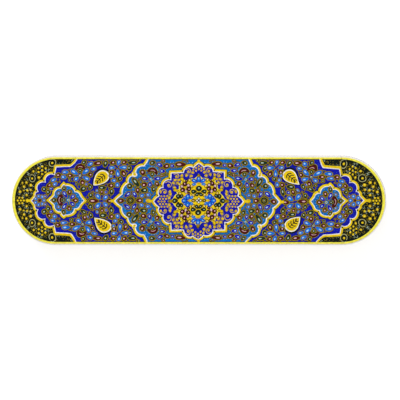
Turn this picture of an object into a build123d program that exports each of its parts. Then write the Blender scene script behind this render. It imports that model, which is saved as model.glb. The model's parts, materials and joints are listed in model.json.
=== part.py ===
from build123d import *
import os
from math import sqrt

# A pen box of the sliding kind. A drawer with a half-round head runs in a sleeve with a half-round
# tail, and shut they make one long box. The drawer holds the pens, and a brass inkwell with a
# hinged lid. Sizes are in millimetres. X runs along the box towards the drawer's head, Z is up,
# and the origin is under the middle of the base.

# Whole box
box_length = 240.0
box_width = 57.0
box_height = 42.0

# Sleeve: wooden boards, and the thin plates that carry the paint
board_thickness = 3.0
wall_thickness = 2.5
facing_thickness = 1.5
panel_thickness = 2.0
rim_round = 0.7
foot_round = 0.8
foot_lift = 0.3
glue_line = 0.05

# Drawer, and the gaps it runs with
side_gap = 0.4
floor_gap = 0.2
ceiling_gap = 1.0
mouth_gap = 0.15
head_lift = 0.2
drawer_board = 2.0
drawer_wall = 2.2
drawer_edge_round = 0.6
tenon_length = 6.0
bulkhead_thickness = 2.0
bulkhead_drop = 6.0
scoop_half_width = 13.0
scoop_depth = 5.0

# Inkwell cup, and the block that it hangs in
well_radius = 15.0
well_wall = 1.0
well_floor = 1.2
well_depth = 9.2
rim_reach = 1.4
rim_thickness = 1.2
bed_height = 9.5
socket_gap = 0.15
bay_margin = 3.1

# Inkwell collar: a spigot in the cup, a low shoulder, and the neck
spigot_length = 1.5
spigot_wall = 1.0
spigot_gap = 0.1
collar_inset = 0.8
collar_edge = 0.8
shoulder_rise = 1.6
shoulder_swell = 0.55
shoulder_wall = 1.0
mouth_radius = 5.2
neck_wall = 1.1
neck_height = 1.0
neck_round = 0.4

# Lid, its hinge and its knob
lid_gap = 0.3
lid_wall = 0.9
lid_seat_gap = 0.1
skirt_height = 1.6
dome_rise = 2.5
pin_radius = 0.6
pin_clearance = 0.05
pin_press_gap = 0.02
pin_head_radius = 0.95
pin_head_length = 0.5
knuckle_radius = 1.25
knuckle_width = 3.0
knuckle_gap = 0.15
ear_width = 1.5
knuckle_side_gap = 0.05
knuckle_floor_gap = 0.2
leaf_thickness = 1.25
tenon_radius = 0.7
tenon_gap = 0.03
rivet_radius = 1.1
rivet_thickness = 0.4
rivet_gap = 0.02
knob_foot_radius = 1.5
knob_foot_height = 0.55
knob_neck_radius = 0.75
knob_neck_height = 0.5
knob_radius = 1.55
knob_bulb_height = 2.0
knob_tip_radius = 0.7
knob_tip_height = 0.45

# Places that follow from the sizes
outer_radius = box_width / 2
core_radius = outer_radius - facing_thickness
inner_radius = core_radius - wall_thickness
end_x = box_length / 2 - outer_radius
mouth_x = end_x
head_back = mouth_x + mouth_gap
panel_z = box_height - panel_thickness
ceiling_z = panel_z - board_thickness

drawer_radius = inner_radius - side_gap
bay_radius = drawer_radius - drawer_wall
drawer_low = board_thickness + floor_gap
drawer_floor_z = drawer_low + drawer_board
drawer_top = ceiling_z - ceiling_gap
tenon_x = head_back - tenon_length

rim_radius = well_radius + rim_reach
ink_bay_length = 2 * (rim_radius + bay_margin)
bulkhead_x = tenon_x - ink_bay_length
ink_x = tenon_x - ink_bay_length / 2
bed_z = drawer_floor_z + bed_height
collar_z = bed_z + rim_thickness
ledge_z = collar_z + collar_edge + shoulder_rise
neck_radius = mouth_radius + neck_wall
neck_top = ledge_z + neck_height
lid_inner = neck_radius + lid_gap
lid_radius = lid_inner + lid_wall
skirt_low = ledge_z + lid_seat_gap
skirt_top = skirt_low + skirt_height
lid_top = skirt_top + dome_rise
hinge_x = lid_radius + knuckle_side_gap + knuckle_radius
hinge_z = ledge_z + knuckle_floor_gap + knuckle_radius


def slab(plan, low, high):
    """A flat outline made solid between two heights."""
    return Pos(0, 0, low) * extrude(plan, amount=high - low)


def strip(x_low, x_high, y_low, y_high):
    """A rectangle given by its edges."""
    centre = Pos((x_low + x_high) / 2, (y_low + y_high) / 2)
    return centre * Rectangle(x_high - x_low, y_high - y_low)


def sleeve_plan(radius):
    """Straight sides back from the mouth, and a half-round tail."""
    return strip(-end_x, mouth_x, -radius, radius) + Pos(-end_x, 0) * Circle(radius)


def tail_ring(outer, inner):
    """The half ring that closes the tail."""
    ring = Pos(-end_x, 0) * (Circle(outer) - Circle(inner))
    return ring & strip(-end_x - outer, -end_x, -outer, outer)


def head_part(plan, reach):
    """What lies past the mouth's gap of an outline drawn round the head's centre."""
    return Pos(end_x, 0) * plan & strip(head_back, end_x + reach, -reach, reach)


def eased_top(solid, amount):
    """Round the outer edges of the top face, and leave the straight edge at the mouth sharp."""
    top = solid.faces().sort_by(Axis.Z)[-1]
    outer = [edge for edge in top.edges() if not lies_at_mouth(edge)]
    return fillet(outer, amount)


def lies_at_mouth(edge):
    """Whether an edge is in the plane where sleeve and head meet."""
    box = edge.bounding_box()
    return box.min.X > mouth_x - mouth_gap and box.max.X < head_back + mouth_gap


def eased_foot(solid, amount):
    """Round the outer bottom edges of a facing, which are the ones farthest from the middle."""
    foot = solid.faces().sort_by(Axis.Z)[0]
    outer = [edge for edge in foot.edges() if on_outside(edge)]
    return fillet(outer, amount)


def on_outside(edge):
    """Whether an edge runs along the box's outer face."""
    middle = edge @ 0.5
    past_end = max(abs(middle.X) - end_x, 0.0)
    return sqrt(past_end**2 + middle.Y**2) > outer_radius - facing_thickness / 4


def turned(outline):
    """A closed outline of radius and height, turned about the inkwell's axis."""
    return revolve(Plane.XZ * make_face(outline), Axis.Z)


def cross_pin(radius, width, x, z):
    """A round bar along Y."""
    return Pos(x, 0, z) * Rot(90, 0, 0) * Cylinder(radius, width)


def sleeve_side_wall(side):
    near = min(side * inner_radius, side * core_radius)
    far = max(side * inner_radius, side * core_radius)
    return slab(strip(-end_x, mouth_x, near, far), board_thickness, ceiling_z)


def sleeve_side_facing(side):
    near = min(side * core_radius, side * outer_radius)
    far = max(side * core_radius, side * outer_radius)
    return eased_foot(slab(strip(-end_x, mouth_x, near, far), foot_lift, panel_z), foot_round)


def sleeve_end_facing():
    ring = tail_ring(outer_radius, core_radius + glue_line)
    return eased_foot(slab(ring, foot_lift, panel_z), foot_round)


def drawer_side(side):
    near = min(side * bay_radius, side * drawer_radius)
    far = max(side * bay_radius, side * drawer_radius)
    board = slab(strip(-end_x, head_back, near, far), drawer_floor_z, drawer_top)
    top = board.faces().sort_by(Axis.Z)[-1]
    return fillet(top.edges().filter_by(Axis.X), drawer_edge_round)


def drawer_tail_wall():
    wall = slab(tail_ring(drawer_radius, bay_radius), drawer_floor_z, drawer_top)
    top = wall.faces().sort_by(Axis.Z)[-1]
    return fillet(top.edges().filter_by(GeomType.CIRCLE), drawer_edge_round)


def drawer_floor():
    plan = strip(-end_x, head_back, -drawer_radius, drawer_radius)
    return slab(plan + Pos(-end_x, 0) * Circle(drawer_radius), drawer_low, drawer_floor_z)


def drawer_head_block():
    """The head's core, with a tenon that the side boards and the floor lap onto."""
    core = slab(head_part(Circle(core_radius), core_radius), head_lift, panel_z)
    tenon = slab(strip(tenon_x, head_back, -bay_radius, bay_radius), drawer_floor_z, drawer_top)
    return core + tenon


def head_facing():
    ring = head_part(Circle(outer_radius) - Circle(core_radius + glue_line), outer_radius)
    return eased_foot(slab(ring, head_lift + foot_lift, panel_z), foot_round)


def drawer_bulkhead():
    """The board between pens and ink, its top edge scooped so that fingers get at the pens."""
    top = drawer_top - bulkhead_drop
    plan = strip(bulkhead_x - bulkhead_thickness, bulkhead_x, -bay_radius, bay_radius)
    scoop_radius = (scoop_half_width**2 + scoop_depth**2) / (2 * scoop_depth)
    centre = Pos(bulkhead_x, 0, top - scoop_depth + scoop_radius)
    scoop = centre * Rot(0, 90, 0) * Cylinder(scoop_radius, 4 * bulkhead_thickness)
    return slab(plan, drawer_floor_z, top) - scoop


def inkwell_bed():
    block = slab(strip(bulkhead_x, tenon_x, -bay_radius, bay_radius), drawer_floor_z, bed_z)
    socket_radius = well_radius + socket_gap
    socket = Pos(ink_x, 0, drawer_floor_z + bed_height / 2) * Cylinder(socket_radius, 2 * bed_height)
    return block - socket


def inkwell_cup():
    """A plain cup whose flat rim hangs it in the bed."""
    bottom = bed_z - well_depth
    inside = well_radius - well_wall
    return turned(Polyline(
        (0, bottom),
        (well_radius, bottom),
        (well_radius, bed_z),
        (rim_radius, bed_z),
        (rim_radius, collar_z),
        (inside, collar_z),
        (inside, bottom + well_floor),
        (0, bottom + well_floor),
        close=True,
    ))


def inkwell_collar():
    """A spigot in the cup, a swelling shoulder, the neck, and two hinge ears on the shoulder."""
    spigot = well_radius - well_wall - spigot_gap
    spigot_inner = spigot - spigot_wall
    edge = rim_radius - collar_inset
    ledge = lid_radius + lid_gap
    edge_top = collar_z + collar_edge
    inner_low = collar_z - spigot_length
    inner_top = ledge_z - shoulder_wall
    shoulder_middle = ((edge + ledge) / 2, (edge_top + ledge_z) / 2 + shoulder_swell)
    shoulder = ThreePointArc((edge, edge_top), shoulder_middle, (ledge, ledge_z))
    lower = Polyline(
        (spigot_inner, inner_low),
        (spigot, inner_low),
        (spigot, collar_z),
        (edge, collar_z),
        (edge, edge_top),
    )
    upper = Polyline(
        (ledge, ledge_z),
        (neck_radius, ledge_z),
        (neck_radius, neck_top - neck_round),
        (neck_radius - neck_round, neck_top),
        (mouth_radius, neck_top),
        (mouth_radius, inner_top),
        (spigot_inner, collar_z),
        (spigot_inner, inner_low),
    )
    return turned(lower + shoulder + upper) + hinge_ears()


def hinge_ears():
    """Two knuckles side by side, each on a web that goes down into the shoulder."""
    bore = cross_pin(pin_radius + pin_press_gap, box_width, hinge_x, hinge_z)
    ear_y = knuckle_width / 2 + knuckle_gap + ear_width / 2
    web_low = ledge_z - shoulder_wall
    web_height = hinge_z - web_low
    ears = []
    for side in (-1, 1):
        knuckle = cross_pin(knuckle_radius, ear_width, hinge_x, hinge_z)
        web = Pos(hinge_x, 0, web_low + web_height / 2) * Box(2 * knuckle_radius, ear_width, web_height)
        ears.append(Pos(0, side * ear_y, 0) * (knuckle + web))
    return ears[0] + ears[1] - bore


def inkwell_hinge_pin():
    """A pin with a domed head at each end."""
    half = knuckle_width / 2 + knuckle_gap + ear_width + pin_press_gap
    tip = half + pin_head_length
    sides = Polyline(
        (0, tip),
        (0, 0),
        (pin_radius, 0),
        (pin_radius, half),
        (pin_head_radius, half),
    )
    half_pin = turned(sides + dome_arc(pin_head_radius, half, 0, tip))
    pin = half_pin + Rot(180, 0, 0) * half_pin
    return Pos(hinge_x, 0, hinge_z) * Rot(90, 0, 0) * pin


def inkwell_lid():
    """A domed cap with a knuckle on a short leaf, and a hole at the top for the knob's tenon."""
    hole = tenon_radius + tenon_gap
    inner_top = lid_top - lid_wall
    outside = dome_arc(lid_radius, skirt_top, hole, lid_top)
    inside = dome_arc(lid_inner, skirt_top, hole, inner_top)
    skirt = Polyline(
        (lid_inner, skirt_top),
        (lid_inner, skirt_low),
        (lid_radius, skirt_low),
        (lid_radius, skirt_top),
    )
    rim_of_hole = Line((hole, lid_top), (hole, inner_top))
    cap = turned(skirt + outside + rim_of_hole + inside)
    leaf_start = lid_inner + lid_wall / 2
    leaf_centre = Pos((leaf_start + hinge_x) / 2, 0, hinge_z)
    leaf = leaf_centre * Box(hinge_x - leaf_start, knuckle_width, leaf_thickness)
    knuckle = cross_pin(knuckle_radius, knuckle_width, hinge_x, hinge_z)
    bore = cross_pin(pin_radius + pin_clearance, box_width, hinge_x, hinge_z)
    return cap + leaf + knuckle - bore


def dome_arc(radius, low, hole, high):
    """An arc from the skirt up to the edge of the hole, level at the top."""
    drop = high - low
    reach = radius - hole
    sphere = (reach**2 + drop**2) / (2 * drop)
    half = reach / 2
    middle = (hole + half, high - sphere + sqrt(sphere**2 - half**2))
    return ThreePointArc((radius, low), middle, (hole, high))


def inkwell_finial():
    """A turned knob: a foot on the dome, a thin neck, a bulb, and a tenon riveted under the lid."""
    under = lid_top - lid_wall - rivet_gap
    foot_top = lid_top + knob_foot_height
    neck_z = foot_top + knob_neck_height
    bulb_top = neck_z + knob_bulb_height
    tip_z = bulb_top + knob_tip_height
    shaft = Polyline(
        (0, tip_z),
        (0, under - rivet_thickness),
        (rivet_radius, under - rivet_thickness),
        (rivet_radius, under),
        (tenon_radius, under),
        (tenon_radius, lid_top),
        (knob_foot_radius, lid_top),
        (knob_foot_radius, foot_top),
        (knob_neck_radius, neck_z),
    )
    bulb = ThreePointArc(
        (knob_neck_radius, neck_z),
        (knob_radius, neck_z + knob_bulb_height / 2),
        (knob_tip_radius, bulb_top),
    )
    tip = Line((knob_tip_radius, bulb_top), (0, tip_z))
    return turned(shaft + bulb + tip)


def at_inkwell(solid):
    """Move a piece from the inkwell's axis to its place in the drawer."""
    return Pos(ink_x, 0, 0) * solid


def build_pieces():
    return {
        "sleeve_base_board": slab(sleeve_plan(core_radius), 0, board_thickness),
        "sleeve_top_board": slab(sleeve_plan(core_radius), ceiling_z, panel_z),
        "sleeve_front_wall": sleeve_side_wall(-1),
        "sleeve_back_wall": sleeve_side_wall(1),
        "sleeve_end_wall": slab(tail_ring(core_radius, inner_radius), board_thickness, ceiling_z),
        "sleeve_top_panel": eased_top(slab(sleeve_plan(outer_radius), panel_z, box_height), rim_round),
        "sleeve_front_facing": sleeve_side_facing(-1),
        "sleeve_back_facing": sleeve_side_facing(1),
        "sleeve_end_facing": sleeve_end_facing(),
        "drawer_floor": drawer_floor(),
        "drawer_front_side": drawer_side(-1),
        "drawer_back_side": drawer_side(1),
        "drawer_tail_wall": drawer_tail_wall(),
        "drawer_bulkhead": drawer_bulkhead(),
        "drawer_head_block": drawer_head_block(),
        "head_facing": head_facing(),
        "head_top_panel": eased_top(
            slab(head_part(Circle(outer_radius), outer_radius), panel_z, box_height), rim_round
        ),
        "inkwell_bed": inkwell_bed(),
        "inkwell_cup": at_inkwell(inkwell_cup()),
        "inkwell_collar": at_inkwell(inkwell_collar()),
        "inkwell_hinge_pin": at_inkwell(inkwell_hinge_pin()),
        "inkwell_lid": at_inkwell(inkwell_lid()),
        "inkwell_finial": at_inkwell(inkwell_finial()),
    }


os.makedirs("parts", exist_ok=True)
for name, piece in build_pieces().items():
    export_step(piece, f"parts/{name}.step")

print("drawer travel", mouth_x + end_x + drawer_radius)
print("lid hinge at", ink_x + hinge_x, hinge_z)
print("lid's far edge rises to", hinge_z + sqrt((hinge_x + lid_radius) ** 2 + (hinge_z - skirt_low) ** 2))
print("ceiling", ceiling_z)
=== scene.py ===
"""The pen box's looks around its CAD frame: the painted top, bone, wood and brass, and the camera.

The pattern is worked out in millimetres, seen from above, with X along the box and Y across it.
Most of it is drawn in one quarter and mirrored. Paint is thin relief that lies on the top plates.
"""

import json

import bmesh
import bpy
import numpy as np
from mathutils import Matrix, Vector
from mathutils.geometry import tessellate_polygon

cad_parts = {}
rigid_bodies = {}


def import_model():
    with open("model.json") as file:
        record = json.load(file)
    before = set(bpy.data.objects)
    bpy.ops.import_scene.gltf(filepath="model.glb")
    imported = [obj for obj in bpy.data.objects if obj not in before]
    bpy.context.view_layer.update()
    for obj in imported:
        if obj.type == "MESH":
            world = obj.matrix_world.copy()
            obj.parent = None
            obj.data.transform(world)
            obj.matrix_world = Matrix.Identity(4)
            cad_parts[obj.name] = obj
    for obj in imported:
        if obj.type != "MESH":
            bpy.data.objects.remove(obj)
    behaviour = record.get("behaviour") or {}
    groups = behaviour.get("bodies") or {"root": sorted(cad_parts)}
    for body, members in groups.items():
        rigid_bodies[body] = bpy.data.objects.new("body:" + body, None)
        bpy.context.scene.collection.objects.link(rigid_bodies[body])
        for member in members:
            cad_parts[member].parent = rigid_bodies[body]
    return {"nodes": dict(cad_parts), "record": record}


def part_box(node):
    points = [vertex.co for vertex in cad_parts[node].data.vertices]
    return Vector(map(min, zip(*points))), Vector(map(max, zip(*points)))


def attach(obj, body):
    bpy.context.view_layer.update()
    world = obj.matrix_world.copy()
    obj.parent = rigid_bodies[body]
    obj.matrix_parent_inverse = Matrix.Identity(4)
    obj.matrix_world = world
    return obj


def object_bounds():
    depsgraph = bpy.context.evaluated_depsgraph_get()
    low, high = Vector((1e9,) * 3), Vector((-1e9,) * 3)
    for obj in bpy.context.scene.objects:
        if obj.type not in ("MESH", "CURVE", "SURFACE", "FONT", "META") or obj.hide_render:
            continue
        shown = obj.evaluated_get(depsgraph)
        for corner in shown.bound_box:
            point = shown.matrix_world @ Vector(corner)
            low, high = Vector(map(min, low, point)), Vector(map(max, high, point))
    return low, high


for leftover in list(bpy.data.objects):
    bpy.data.objects.remove(leftover)
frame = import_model()
cad_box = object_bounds()

bl_info = {
    "name": "Painted pen box",
    "version": (1, 0, 0),
    "blender": (4, 5, 0),
    "location": "View3D > Sidebar > Pen Box",
    "description": "Paints the top of a sliding pen box and finishes its bone, wood and brass",
    "category": "Object",
}

MM = 0.001
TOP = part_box("sleeve_top_panel")[1].z / MM
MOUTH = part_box("sleeve_top_panel")[1].x / MM
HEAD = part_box("head_top_panel")[0].x / MM
HALF_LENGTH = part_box("head_top_panel")[1].x / MM
HALF_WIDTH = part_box("sleeve_top_panel")[1].y / MM
END = HALF_LENGTH - HALF_WIDTH

# Heights of the ruled lines on the sides
SIDE_TOP = TOP - 3.0
SIDE_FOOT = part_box("sleeve_front_facing")[0].z / MM + 3.0

# Levels of the painted grounds above the top plates, in millimetres
NIGHT = 0.03
FIELD = 0.05
SKY = 0.07
CORE = 0.09
STAR = 0.12


def colour(name, about, red, green, blue):
    """A colour property, its default given on the 0 to 255 scale of a paint chart."""
    return bpy.props.FloatVectorProperty(
        name=name,
        description=about,
        subtype="COLOR_GAMMA",
        size=3,
        min=0.0,
        max=1.0,
        default=(red / 255, green / 255, blue / 255),
    )


def length(name, about, millimetres):
    """A length property, its default given in millimetres."""
    return bpy.props.FloatProperty(
        name=name,
        description=about,
        unit="LENGTH",
        precision=5,
        min=0.0,
        default=millimetres * MM,
    )


class PenBoxPaints(bpy.types.PropertyGroup):
    """Colours of the paints and of the bare materials."""

    cobalt: colour("Cobalt", "Ground of the field and of the middle medallion", 10, 16, 172)
    turquoise: colour("Turquoise", "Ground round the middle medallion", 8, 112, 196)
    night: colour("Night green", "Ground of the gardens at both ends", 4, 20, 12)
    gold: colour("Gold", "Bands round the zones, and the star", 246, 210, 12)
    lemon: colour("Lemon", "Border round the top", 255, 243, 78)
    amber: colour("Amber", "Deeper gold of dots and palmettes", 226, 186, 0)
    cream: colour("Cream", "Thin line inside each gold band", 253, 251, 244)
    bronze: colour("Bronze", "Outlines of petals, and tendrils", 160, 138, 6)
    azure: colour("Azure", "Petals on the cobalt field", 6, 122, 226)
    royal: colour("Royal blue", "Petals on the turquoise ground", 14, 28, 186)
    pale: colour("Pale blue", "Lights on blue petals, and specks", 186, 222, 250)
    maroon: colour("Maroon", "Dark red petals", 88, 14, 16)
    rose: colour("Rose", "Lights on dark red petals", 236, 194, 196)
    moss: colour("Moss", "Dark green petals", 24, 48, 34)
    sage: colour("Sage", "Lights on dark green petals", 190, 208, 182)
    ink: colour("Ink", "Thinnest dark lines", 10, 8, 12)
    bone: colour("Bone", "Bare plates under and beside the paint", 252, 250, 243)
    walnut: colour("Walnut", "Boards of the sleeve and the drawer", 112, 66, 36)
    brass: colour("Brass", "Inkwell", 214, 170, 88)


# The paints come first among the colours, so a paint's number is its place here
PAINT_NAMES = list(PenBoxPaints.__annotations__)


class PenBoxSizes(bpy.types.PropertyGroup):
    """Sizes of the brushwork."""

    border_width: length("Border width", "Lemon line that runs round the top", 1.2)
    border_inset: length("Border inset", "From the top's edge to the lemon line", 0.75)
    band_width: length("Band width", "Gold band round each zone", 1.2)
    line_width: length("Line width", "Cream line inside a gold band", 0.75)
    tendril_width: length("Tendril width", "Curling stems", 0.42)
    outline_width: length("Outline width", "Bronze edge round a petal", 0.42)
    halo_width: length("Halo width", "Dark line outside a petal's bronze edge", 0.24)
    rim_width: length("Rim width", "Dark line between a petal's edge and its body", 0.26)


def paints():
    return bpy.context.scene.pen_box_paints


def size(name):
    """A brush size in millimetres."""
    return getattr(bpy.context.scene.pen_box_sizes, name) / MM


def linear(gamma):
    """Paint-chart colour to scene-linear red, green, blue and one."""
    c = np.asarray(gamma, float)
    flat = np.where(c <= 0.04045, c / 12.92, ((c + 0.055) / 1.055) ** 2.4)
    return (*flat, 1.0)


def polar(x, y, reach, turn):
    """Points at a distance from a place, towards angles in radians."""
    return np.stack([x + reach * np.cos(turn), y + reach * np.sin(turn)], -1)


def arc_path(stops, step=0.45):
    """Points along spans between stops (x, y, bulge). Bulge is the height of the arc over half its chord,
    to the left of the way on: a circle through both ends, turned through four times atan(bulge)."""
    pieces = []
    for (x0, y0, bulge), (x1, y1, _) in zip(stops[:-1], stops[1:]):
        chord = np.array([x1 - x0, y1 - y0])
        span = np.hypot(*chord)
        count = max(2, int(np.ceil(span * (1 + abs(bulge)) / step)))
        t = np.linspace(-1, 1, count + 1)[:-1]
        half_turn = 2 * np.arctan(bulge)
        if abs(half_turn) < 1e-4:
            along, out = t / 2, 0 * t
        else:
            along = np.sin(half_turn * t) / np.sin(half_turn) / 2
            out = (np.cos(half_turn * t) - np.cos(half_turn)) / np.sin(half_turn) / 2
        middle = np.array([(x0 + x1) / 2, (y0 + y1) / 2])
        left = np.array([-chord[1], chord[0]])
        pieces.append(middle + along[:, None] * chord + out[:, None] * left)
    pieces.append(np.array([stops[-1][:2]], float))
    return np.concatenate(pieces)


def down_right(stops):
    """A quarter's path from the top edge to the tip on the long axis, and on to the bottom edge."""
    quarter = arc_path(stops)
    return np.concatenate([quarter, (quarter * (1, -1))[-2::-1]])


def both_ends(stops):
    """The closed loop, anticlockwise, that a quarter's path makes when mirrored both ways."""
    right = down_right(stops)
    left = (right * (-1, 1))[::-1]
    joined = np.abs(right[0, 0]) < 1e-6
    loop = np.concatenate([right, left[1:-1] if joined else left])
    return loop[::-1]


def about_axis(stops):
    """The closed loop, anticlockwise, of a path over the long axis and its mirror image under it."""
    upper = arc_path(stops)
    return np.concatenate([upper * (1, -1), upper[-2:0:-1]])


def stadium(radius):
    """Straight sides and half-round ends at a distance from the long axis, anticlockwise."""
    step_count = 64
    right = polar(END, 0, radius, np.linspace(-np.pi / 2, np.pi / 2, step_count))
    side = np.linspace(1, -1, step_count)[1:-1, None] * (END, 0) + (0, radius)
    return np.concatenate([right, side, -right, -side])


def inside(points, loop):
    """Whether each point lies in a loop: the crossings of a ray to the right are odd in number."""
    x, y = points[:, :1], points[:, 1:2]
    x0, y0 = loop[:, 0], loop[:, 1]
    x1, y1 = np.roll(x0, -1), np.roll(y0, -1)
    spans = (y0 > y) != (y1 > y)
    run = np.where(y1 == y0, 1.0, y1 - y0)
    return (spans & (x < (x1 - x0) * (y - y0) / run + x0)).sum(1) % 2 == 1


def clearance(points, loop):
    """Distance from each point to the nearest point of a loop."""
    return np.sqrt(((points[:, None] - loop[None]) ** 2).sum(2)).min(1)


def well_inside(points, loop, margin, holes=(), hole_margin=0.0):
    """Whether each point lies in a loop, and outside the holes, by their margins."""
    keep = inside(points, loop) & (clearance(points, loop) > margin)
    for hole in holes:
        keep &= ~inside(points, hole) & (clearance(points, hole) > hole_margin)
    return keep


def teardrop(long, wide, bend):
    """A loop with its point at the left: x = -cos(t), y = sin(t) sin(t/2)^0.9, and y bent by x squared."""
    t = np.linspace(0, 2 * np.pi, 44, endpoint=False)
    x = -np.cos(t) * long / 2
    y = np.sin(t) * np.sin(t / 2) ** 0.9
    y = y / np.abs(y).max() * wide / 2
    return np.stack([x, y + bend * ((x / long) ** 2 - 0.12)], 1)[::-1]


def curl(x, y, start, turns, radius, grow=1.0, count=40):
    """A spiral that winds in from a radius to its middle: r = radius (1 - s)^grow at start + turns s."""
    s = np.linspace(0, 0.94, count)
    return polar(x, y, radius * (1 - s) ** grow, start + 2 * np.pi * turns * s)


def crescent(x, y, radius, turn, half):
    """An arc round a place that faces one way and reaches `half` to both sides, angles in degrees."""
    return polar(x, y, radius, np.radians(np.linspace(turn - half, turn + half, 18)))


def bow(start, end, sag):
    """A stem between two places that bows to the left by `sag` of its length, as half a sine."""
    s = np.linspace(0, 1, 12)[:, None]
    way = end - start
    left = np.array([-way[1], way[0]])
    return start + s * way + np.sin(np.pi * s) * sag * left


# Zones of the pattern, as a quarter's path (x, y, bulge) that ends on the long axis

MEDALLION = [
    (0.0, 24.0, 0.1), (3.4, 21.3, 0.6), (9.6, 18.3, 0.0), (16.9, 18.1, 0.0),
    (17.0, 13.6, 0.55), (22.2, 8.8, 0.62), (25.2, 3.7, 0.14), (28.8, 0.0, 0.0),
]
LAKE = [
    (32.1, 27.2, -0.1), (34.7, 22.0, 0.5), (39.6, 17.2, -0.9), (39.9, 15.4, -0.2),
    (41.4, 15.7, 0.44), (44.7, 11.4, 0.34), (48.7, 4.4, 0.06), (52.9, 0.0, 0.0),
]
BRACKET = [
    (77.6, 27.2, -0.15), (81.5, 21.9, 0.0), (91.0, 21.6, 0.0), (91.9, 16.7, 0.68),
    (97.6, 12.0, 0.68), (102.2, 5.9, 0.5), (104.2, 3.2, -0.06), (106.9, 0.0, 0.0),
]
# The jewel's upper half, from the tip that points to the middle of the box to the outer tip
JEWEL = [
    (72.6, 0.0, -0.06), (75.2, 3.0, 0.4), (78.6, 5.4, 0.42), (84.4, 9.4, 0.0),
    (85.4, 10.2, 0.12), (87.1, 7.5, 0.5), (91.5, 3.2, -0.06), (94.9, 0.0, 0.0),
]
STAR_POINTS = [
    (0.0, 17.4, -0.1), (2.4, 14.2, 0.2), (7.6, 12.9, -0.15), (10.9, 15.1, -0.1), (11.2, 11.2, 0.2),
    (12.2, 7.8, -0.2), (15.2, 7.0, -0.2), (13.6, 4.6, 0.2), (16.2, 1.7, -0.15), (19.9, 0.0, 0.0),
]

# Where the hand strayed: the place, and how far the pattern round it moved
STRAYS = (
    (-62, -14.5, 0.7, -0.9), (-62, 14.0, 0.0, -0.3), (61, 14.0, -0.9, 0.2), (61, -14.0, 0.0, -0.3),
    (-76, -15.0, 2.0, 0.9), (75, 16.0, -1.8, -0.9), (-50, -20.0, 1.1, 0.0), (54, 0.0, -0.3, -1.1),
    (64, 0.0, 1.3, -0.6), (82, 0.0, 0.3, -0.8), (-89, -21.0, 0.0, 0.9), (89, 21.0, 0.0, -0.9),
    (94, 16.5, 0.8, -0.7), (94, -16.5, 0.7, 0.5), (-94, 17.5, 0.8, -0.2), (-25, 0.0, -0.4, -0.6),
    (-18, -14.0, -0.9, -0.6), (-19, 12.0, -0.5, 0.0), (-2, -24.0, -0.3, -1.5), (14, -20.0, -0.3, -1.0),
    (24, 0.0, 0.0, -0.4), (-49, 8.5, 0.8, -0.2), (-48, -9.5, 0.7, 0.2),
)
STRAY_REACH = 8.0
# How far both ends sit to the left, and where along the box that begins and is reached
END_SHIFT = 1.05
SHIFT_SPAN = (30, 42)
# Distances from the long sides, and from the ends, at which the hand's sway begins and is full
SIDE_SPAN = (1.6, 6.6)
END_SPAN = (8, 16)
# How far the bands lean to the left along the lower edge, and how much more of it lies at the right
LOW_LEAN = 1.7
LOW_LEAN_MORE = 0.9


def between(value, low, high):
    """Nothing below one place, one above the other, and an even slope between them."""
    return np.clip((value - low) / (high - low), 0, 1)


def by_hand(points):
    """The sway of a steady hand: the ends sit to the left, and slow waves and strays make no two quarters
    alike. It dies out at the ruled border, but along the lower edge the bands lean to the left."""
    x, y = points[..., 0], points[..., 1]
    far, wide = np.abs(x), np.abs(y)
    sway_x = 0.22 * np.sin(x / 6.1 + y / 9.7) + 0.16 * np.sin(y / 4.3 + 1.0)
    sway_x = sway_x - END_SHIFT * between(far, *SHIFT_SPAN)
    sway_y = 0.2 * np.sin(x / 7.7 + 0.5) + 0.14 * np.sin(y / 5.9 - x / 11.0)
    for at_x, at_y, move_x, move_y in STRAYS:
        near = np.exp(-((np.hypot(x - at_x, y - at_y) / STRAY_REACH) ** 4))
        sway_x = sway_x + near * move_x
        sway_y = sway_y + near * move_y
    ease = between(HALF_WIDTH - wide, *SIDE_SPAN) * between(HALF_LENGTH - far, *END_SPAN)
    low_edge = between(-y, 21.5, 27) * between(far, 26, 30) * between(-far, -86, -81)
    moved = points.copy()
    moved[..., 0] += ease * sway_x - (LOW_LEAN + LOW_LEAN_MORE * np.sign(x)) * low_edge
    moved[..., 1] += ease * sway_y
    return moved


def linked(name, data):
    """A new object of a mesh, a lamp or a camera, in the scene."""
    thing = bpy.data.objects.new(name, data)
    bpy.context.scene.collection.objects.link(thing)
    return thing


class Relief:
    """Painted shapes of one piece, over one level: points in millimetres, and faces with their paints."""

    def __init__(self, level=0.0, steady=False):
        self.level = level
        self.steady = steady
        self.points = []
        self.count = 0
        self.faces = {3: [], 4: []}
        self.taken = []
        self.middles = []

    def add(self, points, parts, mirror="", rounded=True):
        """Take in points (n, 3), and parts as pairs of a paint's name and faces that turn anticlockwise
        seen from above, and mirror them across the axes that `mirror` names."""
        for sx in (1, -1) if "x" in mirror else (1,):
            for sy in (1, -1) if "y" in mirror else (1,):
                flat = points * (sx, sy, 1)
                self.points.append(flat if self.steady else by_hand(flat))
                for paint, faces in parts:
                    turned = faces if sx * sy > 0 else faces[:, ::-1]
                    number = np.full(len(faces), PAINT_NAMES.index(paint))
                    soft = np.full(len(faces), rounded)
                    self.faces[faces.shape[1]].append((turned + self.count, number, soft))
                self.count += len(points)

    def build(self, name, halves=False):
        """Make the mesh objects: the tail and mouth halves if asked, and the head past the mouth."""
        points = np.concatenate(self.points)
        groups = [[np.concatenate(column) for column in zip(*rows)] for rows in self.faces.values() if rows]
        spans = [("_sleeve", -HALF_LENGTH, HALF_LENGTH)]
        if halves:
            spans = [("_tail", -HALF_LENGTH, 0), ("_mouth", 0, HALF_LENGTH)]
        made = []
        for ending, low, high in spans:
            made += part_of(name + ending, points, groups, low, high)
        for piece in list(made):
            if max((v.co.x for v in piece.data.vertices), default=0) > MOUTH * MM:
                made.append(cut_at_mouth(piece, name + "_head"))
        for piece in made:
            finish_piece(piece)


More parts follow.
